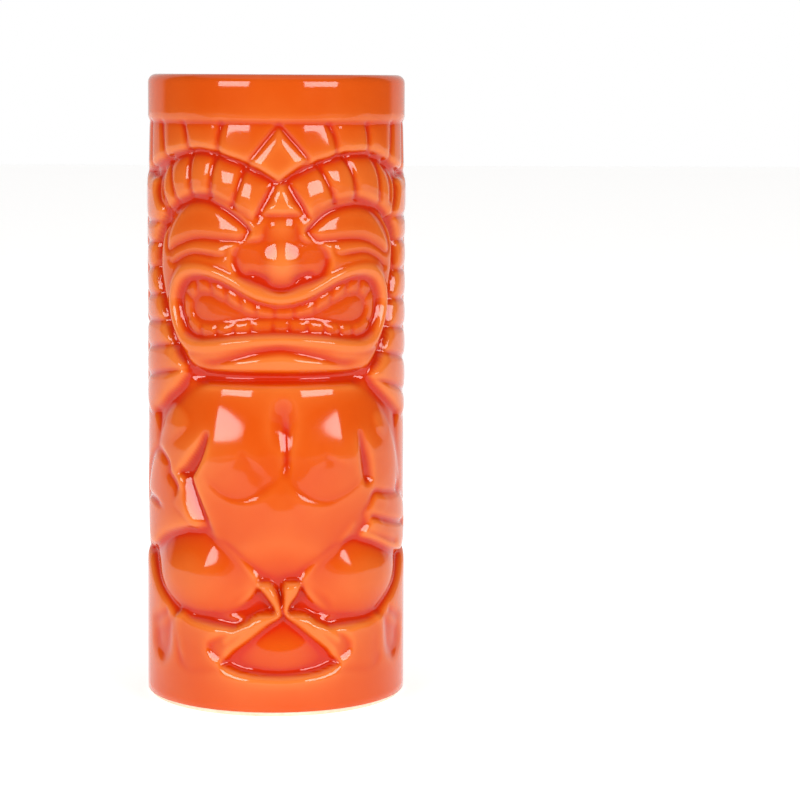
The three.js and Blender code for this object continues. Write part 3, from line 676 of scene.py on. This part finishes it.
plain = smooth((RISE - RIM_BAND) / 0.8 + 0.5) + smooth((BASE_BAND - RISE) / 3.0)
relief = np.minimum(relief, 0) * (1 - np.clip(plain, 0, 1))[:, None]
relief -= (RIM_IN * smooth((RISE - RIM_BAND) / 1.6 + 0.5))[:, None]
relief = softened(relief, 0.4)

# Glaze runs off edges and pools in hollows: 1 where it is thickest, -1 where it breaks thin. The pooled end
# is also painted shade in the deepest hollows, such as the groove under the chin.
pool_and_shade = np.clip((softened(relief, 1.1) - relief) / 0.42 + (softened(relief, 4) - relief) / 1.3, -1, 1)

# The clay under the coat keeps below every hollow, and the inside only echoes the relief.
hidden = softened(lowest(relief, 2.4), 1.0)
echo = 0.55 * softened(relief, 5.0)


def sampled(field, s, z):
    """A field of the flat wall read at any points of it."""
    x = (s + HALF_ROUND) / STEP
    y = np.clip(z / PITCH, 0, RISE.size - 1.001)
    i, j = np.floor(x).astype(int), y.astype(int)
    u, v = x - i, y - j
    left, right = i % ACROSS, (i + 1) % ACROSS
    low = field[j, left] * (1 - u) + field[j, right] * u
    high = field[j + 1, left] * (1 - u) + field[j + 1, right] * u
    return low * (1 - v) + high * v


# ---------------------------------------------------------------------------------------------------
# Throwing: a profile is drawn as a line of points and spun round the axis.

NO_RELIEF, OUTSIDE, HIDDEN, INSIDE = range(4)
CROWDING = 0.38  # columns crowd towards the face


def spun(name, profile, columns):
    """A profile of (radius, height, which relief it takes) thrown into a pot and pressed."""
    mesh = bpy.data.meshes.new(name)
    points = [(0, -max(r, 1e-4) * MM, z * MM) for r, z, _ in profile]
    mesh.from_pydata(points, [(i, i + 1) for i in range(len(points) - 1)], [])  # one open line
    step = mesh.attributes.new("step", "FLOAT", "POINT")
    step.data.foreach_set("value", np.arange(len(profile), dtype=np.float32))
    pot = bpy.data.objects.new(name, mesh)
    bpy.context.scene.collection.objects.link(pot)
    bpy.ops.object.select_all(action="DESELECT")
    pot.select_set(True)
    bpy.context.view_layer.objects.active = pot
    bpy.ops.object.mode_set(mode="EDIT")
    bpy.ops.mesh.select_all(action="SELECT")
    bpy.ops.mesh.spin(steps=columns, angle=2 * math.pi, center=(0, 0, 0), axis=(0, 0, 1),
                      use_auto_merge=True)
    bpy.ops.mesh.select_all(action="SELECT")
    bpy.ops.mesh.remove_doubles(threshold=0.00001)
    bpy.ops.mesh.select_all(action="SELECT")
    bpy.ops.mesh.normals_make_consistent(inside=False)
    bpy.ops.object.mode_set(mode="OBJECT")
    press(pot, profile)
    bpy.ops.object.shade_smooth()
    return pot


def press(pot, profile):
    """Crowds the columns towards the face, presses the relief in, and lays out the unrolled wall."""
    mesh = pot.data
    count = len(mesh.vertices)
    place = np.empty(count * 3, np.float32)
    mesh.vertices.foreach_get("co", place)
    place = place.reshape(-1, 3)
    step = np.empty(count, np.float32)
    mesh.attributes["step"].data.foreach_get("value", step)
    ring = np.rint(step).astype(int)
    radius, height, kind = (np.array(column) for column in zip(*profile))
    even = np.arctan2(place[:, 0], -place[:, 1])
    angle = even - CROWDING * np.sin(even)
    s, z = angle * RADIUS, height[ring]
    fields = {OUTSIDE: relief, HIDDEN: hidden, INSIDE: echo}
    pressed = np.zeros(count)
    for which, field in fields.items():
        chosen = kind[ring] == which
        pressed[chosen] = sampled(field, s[chosen], z[chosen])
    r = np.where(radius[ring] < 1e-3, 0, radius[ring] + pressed)
    place = np.stack([r * np.sin(angle), -r * np.cos(angle), z], 1) * MM
    mesh.vertices.foreach_set("co", place.astype(np.float32).ravel())
    # How much the glaze pools on the outside, which also serves as painted shade in the deepest hollows.
    thickness_and_shade = np.where(kind[ring] == OUTSIDE, sampled(pool_and_shade, s, z), 0)
    pool_and_shade_layer = mesh.attributes.new("glaze_pool_and_painted_shade", "FLOAT", "POINT")
    pool_and_shade_layer.data.foreach_set("value", thickness_and_shade.astype(np.float32))
    unroll(mesh, angle, step / len(profile))
    mesh.attributes.remove(mesh.attributes["step"])
    mesh.update()


def unroll(mesh, angle, share):
    """The piece's own layout: round the mug across, along its profile up."""
    corners = np.empty(len(mesh.loops), np.int32)
    mesh.loops.foreach_get("vertex_index", corners)
    start = np.empty(len(mesh.polygons), np.int32)
    mesh.polygons.foreach_get("loop_start", start)
    total = np.empty(len(mesh.polygons), np.int32)
    mesh.polygons.foreach_get("loop_total", total)
    face = np.repeat(np.arange(len(mesh.polygons)), total)
    whole_turn = 2 * math.pi
    turn = angle[corners]
    turn = turn - whole_turn * np.rint((turn - turn[start][face]) / whole_turn)
    layout = mesh.uv_layers.new(name="OFBake")
    spread = np.stack([turn / whole_turn * 0.96 + 0.5, share[corners] * 0.98 + 0.01], 1)
    layout.data.foreach_set("uv", spread.astype(np.float32).ravel())


def rows(*stretches):
    """Heights from stretches of (from, to, spacing)."""
    out = []
    for low, high, spacing in stretches:
        out += list(np.linspace(low, high, max(1, round(abs(high - low) / spacing)), endpoint=False))
    return out


def straight(*points):
    """A stretch of a profile that takes no relief."""
    return [(r, z, NO_RELIEF) for r, z in points]


def arc(middle, radius, start, end, count):
    """A round stretch of a profile, from one angle to another."""
    r, z = middle
    turns = np.radians(np.linspace(start, end, count))
    return straight(*((r + radius * math.cos(a), z + radius * math.sin(a)) for a in turns))


def lip(thickness, count):
    """The half round of the lip, from its outer spring to its inner one."""
    return arc((LIP_MIDDLE, LIP_SPRING), thickness, 0, 180, count)


def bore(coat, spacing):
    """The inside, from under the lip to the middle of the floor, standing off the clay by a coat."""
    bottom = FLOOR + CORNER
    wall = [(BORE - coat, z, INSIDE) for z in rows((LIP_SPRING - 8, bottom + 4, spacing))]
    corner = arc((BORE - CORNER, bottom), CORNER - coat, 0, -90, 12)
    across = straight(*((r, FLOOR + coat) for r in (17, 12, 7, 3, 0)))
    return wall + corner + across


# The coat: up the outside, over the lip to its inner spring, and back down against the clay.
GLAZE_EDGE = GLAZE_LINE - 0.1
coat_profile = straight((RADIUS - 0.25, GLAZE_EDGE))
coat_profile += [(RADIUS, z, OUTSIDE) for z in rows((GLAZE_LINE, BASE_BAND - 1, 1.6))]
coat_profile += [(RADIUS, z, OUTSIDE) for z in rows((BASE_BAND - 1, 81, 0.56), (81, RIM_BAND + 1, 0.46))]
coat_profile += [(RADIUS, z, OUTSIDE) for z in rows((RIM_BAND + 1, LIP_SPRING, 1.5))]
coat_profile += lip(LIP_ROUND + COAT, 13)
coat_profile += lip(LIP_ROUND, 9)[::-1]
coat_profile += [(CLAY_RADIUS, z, HIDDEN) for z in rows((LIP_SPRING - 2, GLAZE_LINE + 1, 5))]
coat_profile += straight((CLAY_RADIUS, GLAZE_EDGE))
coat = spun("glaze_coat", coat_profile + coat_profile[:1], 296)

# The liner: its clay side first, then its own face from the lip down and across the floor.
liner_profile = bore(0, 4)[::-1]
liner_profile += straight((LIP_BORE, LIP_SPRING), (LIP_BORE - COAT, LIP_SPRING))
liner_profile += bore(COAT, 2)
liner = spun("glaze_liner", liner_profile, 144)

# The clay: the recess under the foot, the foot ring, the hidden wall, the lip and the bore. It keeps a
# hair clear of both glazes.
SHY = 0.05
clay_profile = straight((0, 1.5), (12, 1.5), (24.6, 1.5), (25.4, 1.1), (25.9, 0.3), (26.4, 0), (28.5, 0))
clay_profile += arc((CLAY_RADIUS - FOOT_ROUND, FOOT_ROUND), FOOT_ROUND, -90, 0, 6)
clay_profile += [(CLAY_RADIUS - 2 * SHY, z, HIDDEN) for z in rows((3, LIP_SPRING - 2, 5))]
clay_profile += lip(LIP_ROUND - SHY, 9)
clay_profile += bore(-SHY, 6)
clay = spun("fired_clay", clay_profile, 144)

# ---------------------------------------------------------------------------------------------------
# Finishes.


def linear(hex_colour):
    """An sRGB hex colour as the linear values that a shader takes."""
    channels = [int(hex_colour[i : i + 2], 16) / 255 for i in (1, 3, 5)]
    return (*(c / 12.92 if c <= 0.04045 else ((c + 0.055) / 1.055) ** 2.4 for c in channels), 1)


def add(tree, kind, settings=None, links=None, **choices):
    """Adds a node: its own choices, the values of its sockets, and what feeds them."""
    made = tree.nodes.new(kind)
    for name, value in choices.items():
        setattr(made, name, value)
    for socket, value in (settings or {}).items():
        made.inputs[socket].default_value = value
    for socket, source in (links or {}).items():
        tree.links.new(source, made.inputs[socket])
    return made


def mixed(tree, share, colours, links=None):
    """One colour turning into another, 6 into 7, as a share goes from 0 to 1."""
    return add(tree, "ShaderNodeMix", colours, {"Factor": share, **(links or {})},
               data_type="RGBA").outputs[2]


def finish_of(name):
    """A new material with no nodes in it yet, and its tree."""
    material = bpy.data.materials.new(name)
    material.use_nodes = True
    material.node_tree.nodes.clear()
    return material, material.node_tree


def glossy_glaze(name, thin, body, deep_and_shaded):
    """Glossy coloured lead-free glaze over white earthenware, dipped and fired."""
    material, tree = finish_of(name)
    place = add(tree, "ShaderNodeTexCoord").outputs["Object"]
    lies_thick_and_shaded = add(tree, "ShaderNodeAttribute", attribute_name="glaze_pool_and_painted_shade").outputs["Fac"]
    cloud = add(tree, "ShaderNodeTexNoise", {"Scale": 70, "Detail": 3, "Roughness": 0.5},
                {"Vector": place}).outputs["Fac"]
    little = {"From Min": 0.3, "From Max": 0.7, "To Min": -0.1, "To Max": 0.1}
    drift = add(tree, "ShaderNodeMapRange", little, {"Value": cloud}).outputs["Result"]
    depth = add(tree, "ShaderNodeMath", links={0: lies_thick_and_shaded, 1: drift}, operation="ADD").outputs[0]
    share = add(tree, "ShaderNodeMapRange", {"From Min": -1, "From Max": 1},
                {"Value": depth}).outputs["Result"]
    # Lighter where the glaze breaks thin on edges and darker where it pools; the darkest end is also
    # painted shade in the deepest hollows.
    ramp = add(tree, "ShaderNodeValToRGB", links={"Fac": share})
    ramp.color_ramp.elements[0].color = linear(thin)
    ramp.color_ramp.elements[1].color = linear(deep_and_shaded)
    ramp.color_ramp.elements.new(0.5).color = linear(body)
    ripple = add(tree, "ShaderNodeTexNoise", {"Scale": 130, "Detail": 1},
                 {"Vector": place}).outputs["Fac"]
    bump = add(tree, "ShaderNodeBump", {"Strength": 0.5, "Distance": 0.00004},
               {"Height": ripple}).outputs["Normal"]
    shader = add(tree, "ShaderNodeBsdfPrincipled", {"Roughness": 0.07, "IOR": 1.43},
                 {"Base Color": ramp.outputs["Color"], "Normal": bump})
    add(tree, "ShaderNodeOutputMaterial", links={"Surface": shader.outputs[0]})
    return material


def bare_clay(name, light, dark):
    """Biscuit-fired white earthenware: matt, chalky, with a fine grit."""
    material, tree = finish_of(name)
    place = add(tree, "ShaderNodeTexCoord").outputs["Object"]
    grit = add(tree, "ShaderNodeTexNoise", {"Scale": 900, "Detail": 3}, {"Vector": place}).outputs["Fac"]
    cloud = add(tree, "ShaderNodeTexNoise", {"Scale": 60, "Detail": 3}, {"Vector": place}).outputs["Fac"]
    mottle = add(tree, "ShaderNodeMath", links={0: grit, 1: cloud}, operation="MULTIPLY").outputs[0]
    tone = add(tree, "ShaderNodeMapRange", {"From Min": 0.1, "From Max": 0.45},
               {"Value": mottle}).outputs["Result"]
    colour = mixed(tree, tone, {6: linear(dark), 7: linear(light)})
    bump = add(tree, "ShaderNodeBump", {"Strength": 0.6, "Distance": 0.00006},
               {"Height": grit}).outputs["Normal"]
    shader = add(tree, "ShaderNodeBsdfPrincipled", {"Roughness": 0.82, "IOR": 1.5},
                 {"Base Color": colour, "Normal": bump})
    add(tree, "ShaderNodeOutputMaterial", links={"Surface": shader.outputs[0]})
    return material


# The third colour of the outer glaze, where it pools, also paints shade into the deepest hollows.
orange = glossy_glaze("orange_dipped_glaze", "#E4742E", "#D5500A", "#C62601")
liner_orange = glossy_glaze("orange_liner_glaze", "#E87C36", "#D95610", "#CC2E02")
biscuit = bare_clay("biscuit_earthenware", "#F4E7D3", "#E2CDB0")

for piece, node, material, slot in (
    (coat, "outer_glaze", orange, "orange_glaze"),
    (liner, "inner_glaze", liner_orange, "liner_glaze"),
    (clay, "clay_body", biscuit, "fired_clay"),
):
    piece.data.materials.append(material)
    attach(piece, "root")
    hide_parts(node)

# ---------------------------------------------------------------------------------------------------
# Stage, light and camera.


def ground(name, low, high, height, colour, glow):
    """A plain flat piece of the set, from one y to another."""
    bpy.ops.mesh.primitive_plane_add(size=1, location=(0, (low + high) / 2, height))
    sheet = bpy.context.object
    sheet.name = name
    sheet.scale = (5, high - low, 1)
    finish, tree = finish_of(name)
    values = {"Base Color": linear(colour), "Roughness": 0.9, "Emission Color": (1, 1, 1, 1),
              "Emission Strength": glow}
    shader = add(tree, "ShaderNodeBsdfPrincipled", values)
    add(tree, "ShaderNodeOutputMaterial", links={"Surface": shader.outputs[0]})
    sheet.data.materials.append(finish)


# A white table that glows a little, and the grey floor in front of it.
ground("studio_table", -0.42, 4.0, -0.0001, "#FBFBFA", 0.5)
ground("studio_floor", -1.25, -0.42, -0.0002, "#8E8C89", 0.0)


def softbox(name, azimuth, elevation, distance, size, power):
    """A rectangular softbox aimed at the mug; azimuth is to the right of the front."""
    a, e = math.radians(azimuth), math.radians(elevation)
    middle = Vector((0, 0, 0.09))
    away = Vector((math.sin(a) * math.cos(e), -math.cos(a) * math.cos(e), math.sin(e)))
    lamp = bpy.data.lights.new(name, "AREA")
    lamp.shape = "RECTANGLE"
    lamp.size, lamp.size_y = size
    lamp.energy = power
    held = bpy.data.objects.new(name, lamp)
    held.location = middle + away * distance
    held.rotation_euler = away.to_track_quat("Z", "Y").to_euler()
    bpy.context.scene.collection.objects.link(held)


softbox("softbox_left", -40, 13.0, 2.0, (1.0, 0.62), 20)
softbox("softbox_right", 38, 13.0, 2.0, (1.1, 0.62), 21.5)

# The room: a light tent, pale behind the mug and overhead, with a dim opening round the camera.
TENT_DARK = (0.12, 0.11, 0.105, 1)
TENT_BEHIND = (0.74, 0.73, 0.72, 1)
TENT_OVERHEAD = (0.75, 0.75, 0.75, 1)
WHITE = (1, 1, 1, 1)


def between(tree, value, low, high):
    """0 below one value, 1 above another, and a soft change between them."""
    ends = {"From Min": low, "From Max": high}
    return add(tree, "ShaderNodeMapRange", ends, {"Value": value},
               interpolation_type="SMOOTHSTEP").outputs["Result"]


world = bpy.data.worlds.new("light_tent")
bpy.context.scene.world = world
world.use_nodes = True
room = world.node_tree
room.nodes.clear()
towards = add(room, "ShaderNodeTexCoord").outputs["Generated"]
parts = add(room, "ShaderNodeSeparateXYZ", links={"Vector": towards}).outputs
walls = mixed(room, between(room, parts["Y"], 0.45, 0.62), {6: TENT_DARK, 7: TENT_BEHIND})
tent = mixed(room, between(room, parts["Z"], 0.70, 0.85), {7: TENT_OVERHEAD}, {6: walls})
seen = add(room, "ShaderNodeLightPath").outputs["Is Camera Ray"]
shown = mixed(room, seen, {7: WHITE}, {6: tent})
light = add(room, "ShaderNodeBackground", {"Strength": 1.0}, {"Color": shown}).outputs[0]
add(room, "ShaderNodeOutputWorld", links={"Surface": light})
bpy.context.scene.view_settings.view_transform = "Standard"

# The camera stands at the height of the lip, a little to the left of the face.
AWAY = 0.680  # metres
SIDE_ON = math.radians(-1.8)
TILT = math.radians(6.1)
PAN = math.radians(2.63)
ROLL = math.radians(0.33)
camera = bpy.data.cameras.new("camera")
camera.sensor_width = 36
camera.lens = 121.77
camera.shift_y = -0.0447
camera.clip_start = 0.01
camera.clip_end = 20
eye = bpy.data.objects.new("camera", camera)
bpy.context.scene.collection.objects.link(eye)
bpy.context.scene.camera = eye
eye.location = (AWAY * math.sin(SIDE_ON), -AWAY * math.cos(SIDE_ON), HEIGHT * MM)
aim = Euler((math.radians(90) - TILT, 0, SIDE_ON - PAN)).to_matrix() @ Matrix.Rotation(ROLL, 3, "Z")
eye.rotation_euler = aim.to_euler()
